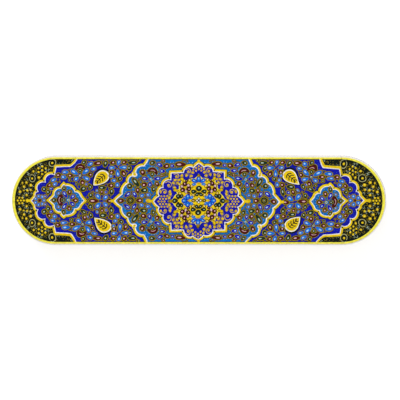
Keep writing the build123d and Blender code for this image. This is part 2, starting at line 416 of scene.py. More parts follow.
def part_of(name, points, groups, low, high):
    """The object of the faces whose middles lie between two places on X, or none, in a list."""
    loops, starts, paint, soft = [], [], [], []
    total = 0
    for faces, face_paint, face_soft in groups:
        middle = points[faces, 0].mean(1)
        keep = (middle >= low) & (middle < high)
        kept = faces[keep]
        loops.append(kept.ravel())
        starts.append(total + np.arange(len(kept)) * faces.shape[1])
        total += kept.size
        paint.append(face_paint[keep])
        soft.append(face_soft[keep])
    loops = np.concatenate(loops)
    if not len(loops):
        return []
    used, loops = np.unique(loops, return_inverse=True)
    starts, paint, soft = np.concatenate(starts), np.concatenate(paint), np.concatenate(soft)
    mesh = bpy.data.meshes.new(name)
    mesh.vertices.add(len(used))
    mesh.vertices.foreach_set("co", (points[used] * MM).ravel().astype(np.float32))
    mesh.loops.add(len(loops))
    mesh.loops.foreach_set("vertex_index", loops.astype(np.int32))
    mesh.polygons.add(len(starts))
    mesh.polygons.foreach_set("loop_start", starts.astype(np.int32))
    present, slots = np.unique(paint, return_inverse=True)
    for index in present:
        mesh.materials.append(paint_material(PAINT_NAMES[index]))
    mesh.polygons.foreach_set("material_index", slots.astype(np.int32))
    mesh.polygons.foreach_set("use_smooth", soft)
    mesh.update(calc_edges=True)
    mesh.validate()
    return [linked(name, mesh)]


def cut_at_mouth(piece, head_name):
    """Cut a piece where the drawer leaves the sleeve. What lies past the cut becomes the head's piece."""
    head = linked(head_name, piece.data.copy())
    head.data.name = head_name
    for part, place, outer in ((piece, MOUTH, True), (head, HEAD, False)):
        cut = bmesh.new()
        cut.from_mesh(part.data)
        bmesh.ops.bisect_plane(
            cut,
            geom=cut.verts[:] + cut.edges[:] + cut.faces[:],
            dist=1e-7,
            plane_co=(place * MM, 0, 0),
            plane_no=(1, 0, 0),
            clear_outer=outer,
            clear_inner=not outer,
        )
        cut.to_mesh(part.data)
        cut.free()
    return head


def finish_piece(piece):
    """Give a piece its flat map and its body. What stands upright gets no flat map."""
    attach(piece, "drawer" if piece.name.endswith("_head") else "sleeve")
    if piece.name.startswith("side"):
        return
    mesh = piece.data
    co = np.zeros(len(mesh.vertices) * 3, np.float32)
    mesh.vertices.foreach_get("co", co)
    flat = co.reshape(-1, 3)[:, :2]
    low = flat.min(0)
    share = (flat - low) / (flat.max(0) - low)
    corner = np.zeros(len(mesh.loops), np.int32)
    mesh.loops.foreach_get("vertex_index", corner)
    flat_map = mesh.uv_layers.new(name="OFBake")
    flat_map.data.foreach_set("uv", share[corner].ravel().astype(np.float32))


def grid(rows, columns, closed):
    """Four-cornered faces of a grid of points, row by row, the columns joined up if closed."""
    row = np.arange(rows - 1)[:, None] * columns
    column = np.arange(columns if closed else columns - 1)[None]
    beside = (column + 1) % columns
    faces = np.stack([row + column, row + beside, row + columns + beside, row + columns + column], 2)
    return faces.reshape(-1, 4)


def sheet(relief, loop, paint, mirror="", lift=0.0):
    """A ground: a flat face inside an anticlockwise loop, and a rim down to the plate."""
    n = len(loop)
    points = np.zeros((2 * n, 3))
    points[:n, :2] = points[n:, :2] = loop
    points[:n, 2] = TOP + relief.level + lift
    points[n:, 2] = TOP
    top = np.array(tessellate_polygon([[Vector((x, y, 0)) for x, y in loop]]))
    a, b, c = points[top[:, 0]], points[top[:, 1]], points[top[:, 2]]
    under = np.cross(b - a, c - a)[:, 2] < 0
    top[under] = top[under][:, ::-1]
    here = np.arange(n)
    after = (here + 1) % n
    rim = np.stack([here, here + n, after + n, after], 1)
    relief.add(points, [(paint, top), (paint, rim)], mirror, rounded=False)


def left_of(ways):
    """The unit vector to the left of each way on."""
    left = np.stack([-ways[:, 1], ways[:, 0]], 1)
    return left / np.maximum(np.linalg.norm(left, axis=1, keepdims=True), 1e-9)


# Across a brush line: the share of its half width, and of its height
LINE_ACROSS = np.array([1.0, 0.55, -0.55, -1.0])
LINE_RISE = np.array([0.0, 1.0, 1.0, 0.0])


def line(relief, path, width, high, paint, mirror="xy", closed=False, shift=0.0, low=0.0):
    """A brush line along a path: low at both edges and high in the middle, over the relief's level, and
    moved by `shift` to the left of the way on. Its width may change along the path."""
    path = np.asarray(path, float)
    if closed:
        way = np.roll(path, -1, 0) - np.roll(path, 1, 0)
        after = np.roll(path, -1, 0) - path
    else:
        way = np.gradient(path, axis=0)
        steps = np.diff(path, axis=0)
        after = np.vstack([steps, steps[-1:]])
    left = left_of(way)
    mitre = 1 / np.clip((left * left_of(after)).sum(1), 0.6, 1)
    reach = shift + LINE_ACROSS * np.broadcast_to(width, len(path))[:, None] / 2
    points = np.zeros((len(path), 4, 3))
    points[..., :2] = path[:, None] + left[:, None] * (reach * mitre[:, None])[..., None]
    points[..., 2] = TOP + relief.level + low + LINE_RISE * (high - low)
    if closed:
        points = np.concatenate([points, points[:1]])
    relief.add(points.reshape(-1, 3), [(paint, grid(len(points), 4, False))], mirror)


def per_ring(*values):
    """One value for each ring of a dome, to be used with arrays of (domes, rings, points)."""
    return np.array(values, float)[None, :, None]


def domes(relief, rings, poles, paint, mirror):
    """Domes from rings of points (domes, rings, around, 3) and poles (domes, 3). `paint` names one paint for
    each strip between two rings, and one for the cap."""
    count, rows, around = rings.shape[:3]
    points = np.concatenate([rings.reshape(count, -1, 3), poles[:, None]], 1)
    start = (np.arange(count) * points.shape[1])[:, None, None]
    quads = grid(rows, around, True)
    ring = np.arange(around)
    last = (rows - 1) * around
    cap = np.stack([last + ring, last + (ring + 1) % around, np.full(around, rows * around)], 1)
    strips = [quads[row * around : (row + 1) * around] for row in range(rows - 1)]
    parts = []
    for name, faces in zip(paint, [*strips, cap]):
        parts.append((name, (start + faces).reshape(-1, faces.shape[1])))
    relief.add(points.reshape(-1, 3), parts, mirror)


# A bead's rings, from the ground to the middle: which of them its outline, its halo and its rim move, and
# the share of its height that each has
BEAD_OUTLINE = (-1, -1, 0, 0, 0, 0)
BEAD_HALO = (-1, 0, 0, 0, 0, 0)
BEAD_RIM = (0, 0, 0, 1, 1, 1)
BEAD_HEIGHT = (0, 1, 0.72, 0.8, 0.95, 1.05)
BEAD_SIDES = 14
# The halo's width where the outline isn't bronze
PLAIN_HALO = 0.08


def beads(relief, x, y, angle, long, wide, high, paint, mirror="xy", blunt=0.0, edge=None, light=0.42,
          lean=0.42, low=0.0):
    """Domed petals, all worked out at once. The body is an ellipse, its width times 1 + blunt cos(t), so
    that a positive blunt makes the far end the wide one. The outline lies outside it, with a dark halo if
    it is bronze. Inside come a thin rim, and then the light, which leans towards the far end. `paint` names
    outline, rim, body and light."""
    edge = size("outline_width") if edge is None else edge
    x, y, angle, long, wide = np.broadcast_arrays(*np.atleast_1d(x, y, angle, long, wide))
    relief.taken += petal_circles(x, y, angle, long + 2 * edge, wide + 2 * edge)
    relief.middles += list(zip(x, y))
    x, y, angle, a, b = [np.asarray(v, float)[:, None, None] for v in (x, y, angle, long / 2, wide / 2)]
    edge = np.minimum(edge, 0.45 * np.minimum(a, b))
    rim = np.minimum(size("rim_width"), 0.2 * np.minimum(a, b))
    halo_paint, halo = ("ink", size("halo_width")) if paint[0] == "bronze" else (paint[0], PLAIN_HALO)
    t = np.linspace(0, 2 * np.pi, BEAD_SIDES, endpoint=False)
    inset = per_ring(*BEAD_OUTLINE) * edge + per_ring(*BEAD_HALO) * halo + per_ring(*BEAD_RIM) * rim
    shrink = per_ring(1, 1, 1, 1, light, 0)
    u = (a - inset) * (shrink * np.cos(t) + lean * (1 - shrink))
    v = (b - inset) * shrink * np.sin(t) * (1 + blunt * np.cos(t))
    points = np.zeros((*u.shape, 3))
    points[..., 0] = x + u * np.cos(angle) - v * np.sin(angle)
    points[..., 1] = y + u * np.sin(angle) + v * np.cos(angle)
    points[..., 2] = TOP + relief.level + low + per_ring(*BEAD_HEIGHT) * (high - low)
    domes(relief, points[:, :5], points[:, 5, 0], (halo_paint, *paint), mirror)


def petal_circles(x, y, angle, long, wide):
    """The room that petals take: two circles (x, y, radius) each, side by side along the petal."""
    apart = (long - wide) / 2
    shift = np.stack([apart * np.cos(angle), apart * np.sin(angle)])
    circles = [np.stack([x + way * shift[0], y + way * shift[1], wide / 2]) for way in (-1, 1)]
    return list(np.concatenate(circles, 1).T)


def dots(relief, places, radius, high, paint, mirror="xy", around=7, low=0.0):
    """Small round drops: a ring on the ground, a ring at two thirds of the radius, and a pole."""
    places = np.asarray(places, float)
    if not len(places):
        return
    t = np.linspace(0, 2 * np.pi, around, endpoint=False)
    reach = per_ring(1.0, 0.62) * np.broadcast_to(radius, len(places))[:, None, None]
    rings = np.zeros((len(places), 2, around, 3))
    rings[..., :2] = polar(places[:, 0, None, None], places[:, 1, None, None], reach, t)
    rings[..., 2] = TOP + relief.level + per_ring(low, high)
    pole_height = np.full((len(places), 1), TOP + (relief.level + high) * 1.1)
    domes(relief, rings, np.hstack([places, pole_height]), (paint, paint), mirror)


def specks(relief, places, radius, paint):
    """The smallest drops, of six sides."""
    dots(relief, places, radius, 0.05, paint, around=6)


def scatter(loop, spacing, seed, margin, avoid=(), holes=()):
    """Places on a loose hexagonal net in a quarter that lie inside a loop and outside the holes by a
    margin, and clear of circles (x, y, radius)."""
    random = np.random.default_rng(seed)
    low, high = loop.min(0), loop.max(0)
    rows = np.arange(low[1], high[1], spacing * 0.866)
    x, y = np.meshgrid(np.arange(low[0], high[0], spacing), rows)
    x = x + (np.arange(len(rows)) % 2)[:, None] * spacing / 2
    places = np.stack([x.ravel(), y.ravel()], 1)
    places = places + random.uniform(-0.24, 0.24, places.shape) * spacing
    places = places[(places > -1e-6).all(1)]
    keep = well_inside(places, loop, margin, holes, margin)
    for x, y, reach in avoid:
        keep &= np.hypot(places[:, 0] - x, places[:, 1] - y) > reach
    return places[keep]


# Paints of a petal's outline, rim, body and light
BLUE = ("bronze", "royal", "azure", "pale")
DEEP_BLUE = ("bronze", "cobalt", "royal", "pale")
RED = ("bronze", "ink", "maroon", "rose")
GREEN = ("bronze", "ink", "moss", "sage")
YELLOW = ("amber", "amber", "amber", "gold")
KINDS = {"B": BLUE, "D": DEEP_BLUE, "R": RED, "G": GREEN, "Y": YELLOW}


def petals_round(relief, x, y, reach, angles, long, wide, kind, mirror="xy", blunt=0.3, **more):
    """Petals whose middles stand at one distance round a place and point outwards, angles in degrees."""
    turn = np.radians(np.asarray(angles, float))
    at_x, at_y = polar(x, y, reach, turn).T
    beads(relief, at_x, at_y, turn, long, wide, 0.13, kind, mirror, blunt, **more)


def open_flower(relief, x, y, kind, petals, turn=90.0):
    """A large flower: petals as (angle, reach, long, wide), a dark cup under a red crescent on the side
    that `turn` faces, and an eye in the middle."""
    for angle, reach, long, wide in petals:
        petals_round(relief, x, y, reach, [angle], long, wide, kind)
    ahead = np.radians(turn)
    cup = polar(x, y, 3.4, ahead)
    beads(relief, *cup, ahead, 2.6, 2.1, 0.12, GREEN, lean=0)
    relief.taken.append((*polar(*cup, 0.9, ahead), 3.7))
    arch = crescent(*cup, 2.9, turn, 84)
    thick = 2.2 * np.sin(np.linspace(0.2, np.pi - 0.2, len(arch)))
    coats = ((1.2, 0, 0.1, "bronze"), (0.5, 0.08, 0.13, "ink"), (0, 0.1, 0.15, "maroon"))
    for more, low, high, paint in coats:
        line(relief, arch, thick + more, high, paint, low=low)
    line(relief, arch[5:-5], 0.4, 0.18, "rose", shift=0.3, low=0.12)
    dots(relief, [(x, y)], 0.8, 0.15, "sage")
    dots(relief, [(x, y)], 0.4, 0.19, "ink", low=0.12)
    relief.taken.append((x, y, 1.2))


def rosette(relief, x, y, reach, count, wide, kind, turn=0.0, centre="maroon"):
    """Round petals in a ring about a small drop, drawn once and not mirrored."""
    petals_round(relief, x, y, reach, turn + np.arange(count) * 360 / count, wide * 1.1, wide, kind, "")
    dots(relief, [(x, y)], reach * 0.4, 0.17, centre, "")


def buds(relief, wanted, mirror="xy", **more):
    """Single petals, each (x, y, angle in degrees, long, wide, letter of its kind)."""
    for letter, kind in KINDS.items():
        chosen = np.array([bud[:5] for bud in wanted if bud[5] == letter], float)
        if len(chosen):
            x, y, angle, long, wide = chosen.T
            beads(relief, x, y, np.radians(angle), long, wide, 0.12, kind, mirror, 0.15, **more)


# Petals that fill the room left over: long, wide, and how many places are tried
FILLERS = ((2.4, 1.9, 700), (1.8, 1.5, 900), (1.2, 1.1, 500))
# How far petals may overlap
OVERLAP = 0.1
# Stems: the shortest and the longest, and how far one bows, as a share of its length
STEM_SPAN = (2.2, 6.0)
STEM_SAG = 0.34


def undergrowth(flowers, stems, loop, seed, letters, holes, avoid):
    """Small petals that fill the room left in a quarter's ground, each put where two circles of its own
    width touch nothing yet, and stems that bow from petal to petal."""
    random = np.random.default_rng(seed)
    taken = np.array(flowers.taken + list(avoid), float)
    low, high = loop.min(0), loop.max(0)
    edge = size("outline_width")
    for long, wide, tries in FILLERS:
        spots = random.uniform(np.maximum(low, 0), high, (tries, 2))
        angles = random.uniform(0, np.pi, tries)
        keep = well_inside(spots, loop, wide / 2 + 1.0, holes, wide / 2 + 2.2) & (spots[:, 1] > wide / 2)
        kept = []
        for (x, y), angle in zip(spots[keep], angles[keep]):
            own = np.array(petal_circles(*np.atleast_1d(x, y, angle, long + 2 * edge, wide + 2 * edge)))
            gap = np.hypot(own[:, :1] - taken[:, 0], own[:, 1:2] - taken[:, 1]) - own[:, 2:] - taken[:, 2]
            if gap.min() > -OVERLAP:
                taken = np.concatenate([taken, own])
                kept.append((x, y, np.degrees(angle), long, wide, random.choice(list(letters))))
        buds(flowers, kept)
    middles = np.array(flowers.middles)
    middles = middles[well_inside(middles, loop, 1.2)]
    for index in range(1, len(middles)):
        reach = np.hypot(*(middles[:index] - middles[index]).T)
        for near in np.argsort(reach)[:3]:
            if STEM_SPAN[0] < reach[near] < STEM_SPAN[1]:
                stem = bow(middles[index], middles[near], random.choice([-STEM_SAG, STEM_SAG]))
                line(stems, stem, size("tendril_width") + 0.4, 0.04, "ink")
                line(stems, stem, size("tendril_width"), 0.08, "bronze")


# How far a gold band runs under its cream line
BAND_LAP = 0.3


def band(relief, path, mirror="", closed=False, fine=1.0):
    """A gold band with a cream line, `fine` times its usual width, along its inner edge. The path is the
    cream line's middle, and the gold lies to its left. Both start from the lowest ground."""
    wide, thin = size("band_width"), fine * size("line_width")
    low = NIGHT - relief.level
    line(relief, path, wide + BAND_LAP, 0.12, "gold", mirror, closed, (wide + thin - BAND_LAP) / 2, low)
    line(relief, path, thin, 0.13, "cream", mirror, closed, low=low)
    line(relief, path, 0.5, 0.06, "moss", mirror, closed, thin / 2 + wide + 0.1, low)


def gold_tip(relief, x, long, wide, high=0.17, angle=0.0):
    """A plain gold drop at both ends of the long axis that stands on the plate."""
    beads(relief, x, 0, angle, long, wide, high, ("gold",) * 4, "x", edge=0.05, low=0.02 - relief.level)


# Materials


def add_node(tree, kind, values, result=0, **settings):
    """A shader node with its settings, and values or sockets for its inputs. Returns one of its outputs."""
    node = tree.nodes.new("ShaderNode" + kind)
    for key, setting in settings.items():
        setattr(node, key, setting)
    for label, value in values.items():
        if isinstance(value, bpy.types.NodeSocket):
            tree.links.new(value, node.inputs[label])
        else:
            node.inputs[label].default_value = value
    return node.outputs[result]


def noise(tree, scale, detail, stretch=(1, 1, 1)):
    """A noise texture on object coordinates, with `scale` cells a metre, and stretched."""
    place = add_node(tree, "TexCoord", {}, "Object")
    place = add_node(tree, "Mapping", {"Vector": place, "Scale": stretch}, "Vector")
    return add_node(tree, "TexNoise", {"Vector": place, "Scale": scale, "Detail": detail}, "Fac")


def spread(tree, value, low, high, start=0.3, end=0.7):
    """Map a noise value from one range to another."""
    values = {"Value": value, "From Min": start, "From Max": end, "To Min": low, "To Max": high}
    return add_node(tree, "MapRange", values, "Result")


def times(tree, one, other):
    """One colour or value times another, as a colour."""
    return add_node(tree, "VectorMath", {0: one, 1: other}, "Vector", operation="MULTIPLY")


def blend(tree, share, one, other):
    """A mix of two colours. The sixth and seventh inputs are the mix node's colours."""
    return add_node(tree, "Mix", {"Factor": share, 6: one, 7: other}, 2, data_type="RGBA")


def bump(tree, height, strength, depth):
    """A normal from a height, its depth in millimetres."""
    return add_node(tree, "Bump", {"Height": height, "Strength": strength, "Distance": depth * MM}, "Normal")


def open_group(name, **kinds):
    """A shader group with inputs of the given kinds and a finish's three outputs, and its inputs."""
    group = bpy.data.node_groups.new(name, "ShaderNodeTree")
    results = {"Color": "Color", "Roughness": "Float", "Normal": "Vector"}
    for side, sockets in (("INPUT", kinds), ("OUTPUT", results)):
        for label, kind in sockets.items():
            group.interface.new_socket(label, in_out=side, socket_type=f"NodeSocket{kind}")
    return group, group.nodes.new("NodeGroupInput").outputs


def close_group(group, *results):
    """Link a group's colour, roughness and normal to its outputs."""
    for result, socket in zip(results, group.nodes.new("NodeGroupOutput").inputs):
        group.links.new(result, socket)
    return group


def brushed_paint():
    """Group: paint laid by a fine brush. Cloudy where it lies thick or thin, streaked along the stroke,
    with a slightly uneven varnish."""
    if "brushed_paint" in bpy.data.node_groups:
        return bpy.data.node_groups["brushed_paint"]
    group, given = open_group("brushed_paint", Paint="Color", Cloud="Float")
    cloud = spread(group, noise(group, 700, 2), 0.8, 1.14)
    streak = spread(group, noise(group, 2600, 2, (0.35, 1, 1)), 0.9, 1.1)
    laid = times(group, times(group, given["Paint"], cloud), streak)
    colour = blend(group, given["Cloud"], given["Paint"], laid)
    rough = spread(group, noise(group, 900, 2), 0.34, 0.5)
    return close_group(group, colour, rough, bump(group, noise(group, 3200, 2), 0.25, 0.02))


def finished(name, group, values, specular, metallic=0.0):
    """A material whose colour, roughness and normal come from a group, with the given input values."""
    material = bpy.data.materials.new(name)
    material.use_nodes = True
    tree = material.node_tree
    shader = tree.nodes["Principled BSDF"]
    node = tree.nodes.new("ShaderNodeGroup")
    node.node_tree = group
    for label, value in values.items():
        node.inputs[label].default_value = value
    tree.links.new(node.outputs["Color"], shader.inputs["Base Color"])
    tree.links.new(node.outputs["Roughness"], shader.inputs["Roughness"])
    tree.links.new(node.outputs["Normal"], shader.inputs["Normal"])
    shader.inputs["Specular IOR Level"].default_value = specular
    shader.inputs["Metallic"].default_value = metallic
    return material


def paint_material(name):
    """The material of one paint, made once."""
    label = "paint_" + name
    if label in bpy.data.materials:
        return bpy.data.materials[label]
    values = {"Paint": linear(getattr(paints(), name)), "Cloud": 1.0}
    return finished(label, brushed_paint(), values, 0.12)


def polished_bone():
    """Group: sawn and polished bone. Long faint grain, tiny pores, and a warmer tint in patches."""
    group, given = open_group("polished_bone", Bone="Color", Shade="Color")
    patch = spread(group, noise(group, 45, 3), 0.0, 0.5)
    grain = spread(group, noise(group, 900, 3, (0.06, 1, 1)), 0.0, 0.5, 0.45, 0.7)
    tinted = blend(group, patch, given["Bone"], given["Shade"])
    colour = blend(group, grain, tinted, given["Shade"])
    rough = spread(group, noise(group, 300, 3), 0.26, 0.42)
    return close_group(group, colour, rough, bump(group, noise(group, 2200, 2, (0.2, 1, 1)), 0.2, 0.03))


def oiled_wood():
    """Group: oiled walnut. Growth bands drawn out along X, fine dark pores, and a satin surface."""
    group, given = open_group("oiled_wood", Wood="Color", Dark="Color")
    bands = spread(group, noise(group, 190, 4, (0.05, 1, 1)), 0.0, 1.0, 0.35, 0.65)
    grain = noise(group, 1500, 3, (0.03, 1, 1))
    pores = spread(group, grain, 0.0, 0.75, 0.5, 0.72)
    banded = blend(group, bands, given["Wood"], given["Dark"])
    colour = blend(group, pores, banded, given["Dark"])
    rough = spread(group, noise(group, 420, 2, (0.1, 1, 1)), 0.42, 0.6)
    return close_group(group, colour, rough, bump(group, grain, 0.4, 0.06))


def handled_brass():
    """Group: brass that fingers keep bright. Brown tarnish in patches, and fine scratches."""
    group, given = open_group("handled_brass", Metal="Color", Tarnish="Color")
    patch = spread(group, noise(group, 260, 4), 0.0, 0.8, 0.42, 0.68)
    colour = blend(group, patch, given["Metal"], given["Tarnish"])
    rough = spread(group, noise(group, 500, 3), 0.2, 0.42)
    return close_group(group, colour, rough, bump(group, noise(group, 2500, 2, (1, 0.12, 1)), 0.2, 0.02))


class PENBOX_OT_frame_finish(bpy.types.Operator):
    """Give every CAD node its bone, wood or brass."""

    bl_idname = "penbox.frame_finish"
    bl_label = "Bone, Wood and Brass"

    def execute(self, context):
        bone, walnut, brass = (linear(c) for c in (paints().bone, paints().walnut, paints().brass))
        yellowed = tuple(np.array(bone) * (0.9, 0.83, 0.68, 1))
        dark = tuple(np.array(walnut) * (0.42, 0.36, 0.32, 1))
        brown = tuple(np.array(brass) * (0.5, 0.4, 0.3, 1))
        plates = finished("bone", polished_bone(), {"Bone": bone, "Shade": yellowed}, 0.4)
        finishes = {
            "wood": finished("walnut", oiled_wood(), {"Wood": walnut, "Dark": dark}, 0.35),
            "bone": plates,
            "illumination": plates,
            "brass": finished("brass", handled_brass(), {"Metal": brass, "Tarnish": brown}, 0.5, 1.0),
        }
        for part in frame["record"]["subparts"]:
            node = frame["nodes"][part["node"]]
            if not node.material_slots:
                node.data.materials.append(None)
            for slot in node.material_slots:
                slot.material = finishes[part["material_slot"]]
        return {"FINISHED"}


class PENBOX_OT_grounds(bpy.types.Operator):
    """Lay the painted grounds: night, cobalt, turquoise, the medallion's cobalt and the golden star."""

    bl_idname = "penbox.grounds"
    bl_label = "Painted Grounds"

    def execute(self, context):
        edge = HALF_WIDTH - size("border_inset") - size("border_width") / 2
        grounds = (
            ("night", stadium(edge), NIGHT, "night"),
            ("cobalt", both_ends(BRACKET), FIELD, "cobalt"),
            ("turquoise", both_ends(LAKE), SKY, "turquoise"),
            ("medallion", both_ends(MEDALLION), CORE, "cobalt"),
            ("star", both_ends(STAR_POINTS), STAR, "gold"),
            ("jewels", about_axis(JEWEL), SKY, "turquoise"),
        )
        for name, loop, level, paint in grounds:
            ground = Relief(level, steady=name == "night")
            sheet(ground, loop, paint, "x" if name == "jewels" else "")
            ground.build("ground_" + name, halves=name == "jewels")
        return {"FINISHED"}


# How much of its width the border gains towards the outermost points of both ends
BORDER_SWELL = 0.6


class PENBOX_OT_borders(bpy.types.Operator):
    """Draw the lemon border round the top, and the gold and cream bands round the zones."""

    bl_idname = "penbox.borders"
    bl_label = "Borders and Bands"

    def execute(self, context):
        width = size("border_width")
        middle = HALF_WIDTH - size("border_inset") - width / 2
        rim = Relief(steady=True)
        line(rim, stadium(middle - width / 2 - 0.1), 0.5, 0.12, "ink", "", closed=True)
        path = stadium(middle)
        round_end = np.clip((np.abs(path[:, 0]) - END) / HALF_WIDTH, 0, 1)
        line(rim, path, width * (1 + BORDER_SWELL * round_end), 0.22, "lemon", "", closed=True)
        rim.build("border")
        medallion = Relief(CORE)
        band(medallion, both_ends(MEDALLION)[::-1], closed=True)
        dots(medallion, [(0, 25.6)], 1.0, 0.17, "gold", "y", low=-CORE)
        gold_tip(medallion, 31.0, 2.6, 1.7)
        medallion.build("band_medallion")
        lake = Relief(SKY)
        band(lake, down_right(LAKE), "x")
        dots(lake, [(40.6, 17.3)], 1.5, 0.18, "gold", around=16, low=-SKY)
        line(lake, curl(40.2, 16.9, -2.2, 0.62, 1.5, 0.3), 0.6, 0.2, "cream")
        dots(lake, [(40.7, 17.5)], 0.45, 0.22, "ink")
        gold_tip(lake, 54.4, 2.6, 1.7)
        lake.build("band_turquoise", halves=True)
        bracket = Relief(FIELD)
        band(bracket, down_right(BRACKET), "x", fine=0.75)
        gold_tip(bracket, 109.0, 3.6, 1.7)
        gold_tip(bracket, 109.8, 2.4, 1.2, 0.15, np.pi / 2)
        bracket.build("band_bracket", halves=True)
        jewel = Relief(SKY)
        band(jewel, about_axis(JEWEL)[::-1], "x", closed=True, fine=0.75)
        jewel.build("band_jewels", halves=True)
        return {"FINISHED"}


class PENBOX_OT_side_lines(bpy.types.Operator):
    """Rule a gold line between two blue ones round the sides, under the top edge and over the foot."""

    bl_idname = "penbox.side_lines"
    bl_label = "Side Lines"

    def execute(self, context):
        ruled = Relief(steady=True)
        path = stadium(HALF_WIDTH)
        way = np.roll(path, -1, 0) - np.roll(path, 1, 0)
        out = np.stack([way[:, 1], -way[:, 0]], 1) / np.linalg.norm(way, axis=1, keepdims=True)
        swell = np.array([0.0, 0.06, 0.06, 0.0])
        for height in (SIDE_TOP, SIDE_FOOT):
            for offset, width, paint in ((0.0, 1.1, "gold"), (0.95, 0.4, "cobalt"), (-0.95, 0.4, "cobalt")):
                rise = np.array([0.5, 0.3, -0.3, -0.5]) * width
                points = np.zeros((len(path), 4, 3))
                points[..., :2] = path[:, None] + out[:, None] * swell[:, None]
                points[..., 2] = height + offset + rise
                points = np.concatenate([points, points[:1]])
                ruled.add(points.reshape(-1, 3), [(paint, grid(len(points), 4, False))])
        ruled.build("side_lines")
        return {"FINISHED"}


# Curls in the medallion's cobalt ring (x, y, radius)
RING_CURLS = [(18.4, 10.2, 2.5), (13.6, 15.9, 1.9), (6.6, 18.9, 2.0), (21.4, 6.0, 1.7)]
# Paints of the petals on the star
STAR_BLUE = ("royal", "royal", "azure", "pale")
STAR_LIGHT = ("azure", "azure", "azure", "pale")
STAR_DARK = ("ink", "ink", "moss", "sage")
STAR_WINE = ("ink", "ink", "maroon", "rose")
STAR_PINK = ("ink", "maroon", "rose", "rose")
# Flowers on the star: the middle (x, y), the petals (reach, angles, long, wide, paints, light and, where
# it isn't the usual one, blunt), and the amber drop (x, y, radius, height) if there is one
STAR_FLOWERS = (
    (6.8, 0, (
        (2.2, (88, -88, 0), 3.5, 2.6, STAR_BLUE, 0.32),
        (2.8, (140, -140), 2.2, 1.4, STAR_LIGHT, 0.32),
        (2.4, (44, -44), 2.2, 1.3, STAR_BLUE, 0.32),
    ), (6.2, 0, 0.8, 0.16)),
    (0, 10.6, (
        (2.8, (90,), 3.8, 2.6, STAR_BLUE, 0.32),
        (3.2, (36, 144), 3.8, 2.0, STAR_BLUE, 0.32),
        (2.9, (-6, 186), 2.3, 1.4, STAR_LIGHT, 0.32),
    ), (0, 11.0, 0.8, 0.16)),
    (0, 5.6, (
        (1.9, (90,), 3.2, 3.4, STAR_DARK, 0.36, 0.1),
        (3.1, (2, 178), 3.2, 2.0, STAR_DARK, 0.32),
        (1.9, (-56, 236), 2.6, 1.7, STAR_DARK, 0.32),
    ), None),
    (12.8, 0, (
        (2.2, (0,), 3.4, 2.8, STAR_DARK, 0.32),
        (2.5, (84, -84), 3.0, 2.3, STAR_DARK, 0.32),
        (3.3, (124, -124), 2.6, 1.8, STAR_DARK, 0.32),
    ), None),
    (8.4, 8.4, (
        (2.2, (82, 205, 318), 2.8, 2.3, STAR_WINE, 0.4),
        (2.2, (20, 145), 1.9, 1.9, STAR_PINK, 0.5),
        (2.5, (262,), 2.4, 1.6, STAR_PINK, 0.4),
        (4.2, (240, 100), 1.9, 1.4, STAR_WINE, 0.32),
    ), (8.4, 8.4, 0.6, 0.12)),
)
# Amber leaves in the star's points, and smaller ones between its flowers (x, y, angle)
STAR_TIPS = ((0, 15.4, 90), (10.2, 13.8, 60), (14.2, 6.8, 10), (17.6, 0, 0))
STAR_LEAVES = ((3.4, 3.4, 45), (11.6, 4.6, 20), (4.4, 9, 70), (5.6, 13, 60), (3.2, 0, 0), (11.8, 10.6, 50))


class PENBOX_OT_medallion(bpy.types.Operator):
    """Paint the middle medallion: dots and curls in its cobalt ring, flowers on its star."""

    bl_idname = "penbox.medallion"
    bl_label = "Middle Medallion"

    def execute(self, context):
        ring = Relief(CORE)
        for x, y, radius in RING_CURLS:
            line(ring, curl(x, y, 0.6, 1.25, radius), 0.46, 0.09, "amber")
            dots(ring, [(x, y)], 0.7, 0.12, "amber")
        for row in range(-2, 3):
            aside, back = 1.7 * row, 0.97 * abs(row)
            dots(ring, [(25.6 - back - 1.95 * step, aside) for step in range(3)], 0.7, 0.14, "amber", "x")
            count = 2 if abs(row) < 2 else 1
            dots(ring, [(aside, 22.0 - back - 1.9 * step) for step in range(count)], 0.7, 0.14, "amber", "y")
        avoid = [(x, y, radius + 0.5) for x, y, radius in RING_CURLS] + [(23.8, 0, 4.2), (0, 21.0, 3.2)]
        places = scatter(both_ends(MEDALLION), 2.7, 11, 1.0, avoid, (both_ends(STAR_POINTS),))
        turns = np.random.default_rng(13).uniform(0, 360, len(places))
        buds(ring, [(x, y, turn, 1.7, 1.3, "Y") for (x, y), turn in zip(places, turns)], edge=0.05)
        for (x, y), turn in zip(places, turns):
            line(ring, crescent(x, y, 1.35, turn, 80), 0.28, 0.07, "bronze")
        ring.build("medallion_ring")

        star = Relief(STAR)
        line(star, both_ends(STAR_POINTS), 0.5, 0.08, "lemon", "", closed=True, shift=0.3)
        for x, y, turn in STAR_TIPS:
            petals_round(star, x, y, 0, [turn], 2.6, 1.5, ("bronze", "amber", "amber", "gold"), edge=0.2)
        for x, y, petals, drop in STAR_FLOWERS:
            mirror = "x" * (x > 0) + "y" * (y > 0)
            for reach, angles, long, wide, kind, light, *blunt in petals:
                more = {"edge": 0.15, "light": light}
                petals_round(star, x, y, reach, angles, long, wide, kind, mirror, *blunt, **more)
            if drop:
                dots(star, [drop[:2]], *drop[2:], "amber", mirror)
        rosette(star, 0, 0, 1.05, 4, 1.05, ("ink", "sage", "cream", "cream"), centre="ink")
        for x, y, turn in STAR_LEAVES:
            petals_round(star, x, y, 0, [turn], 1.9, 1.2, ("bronze", "amber", "amber", "cream"), edge=0.2)
        star.build("medallion_star")
        return {"FINISHED"}


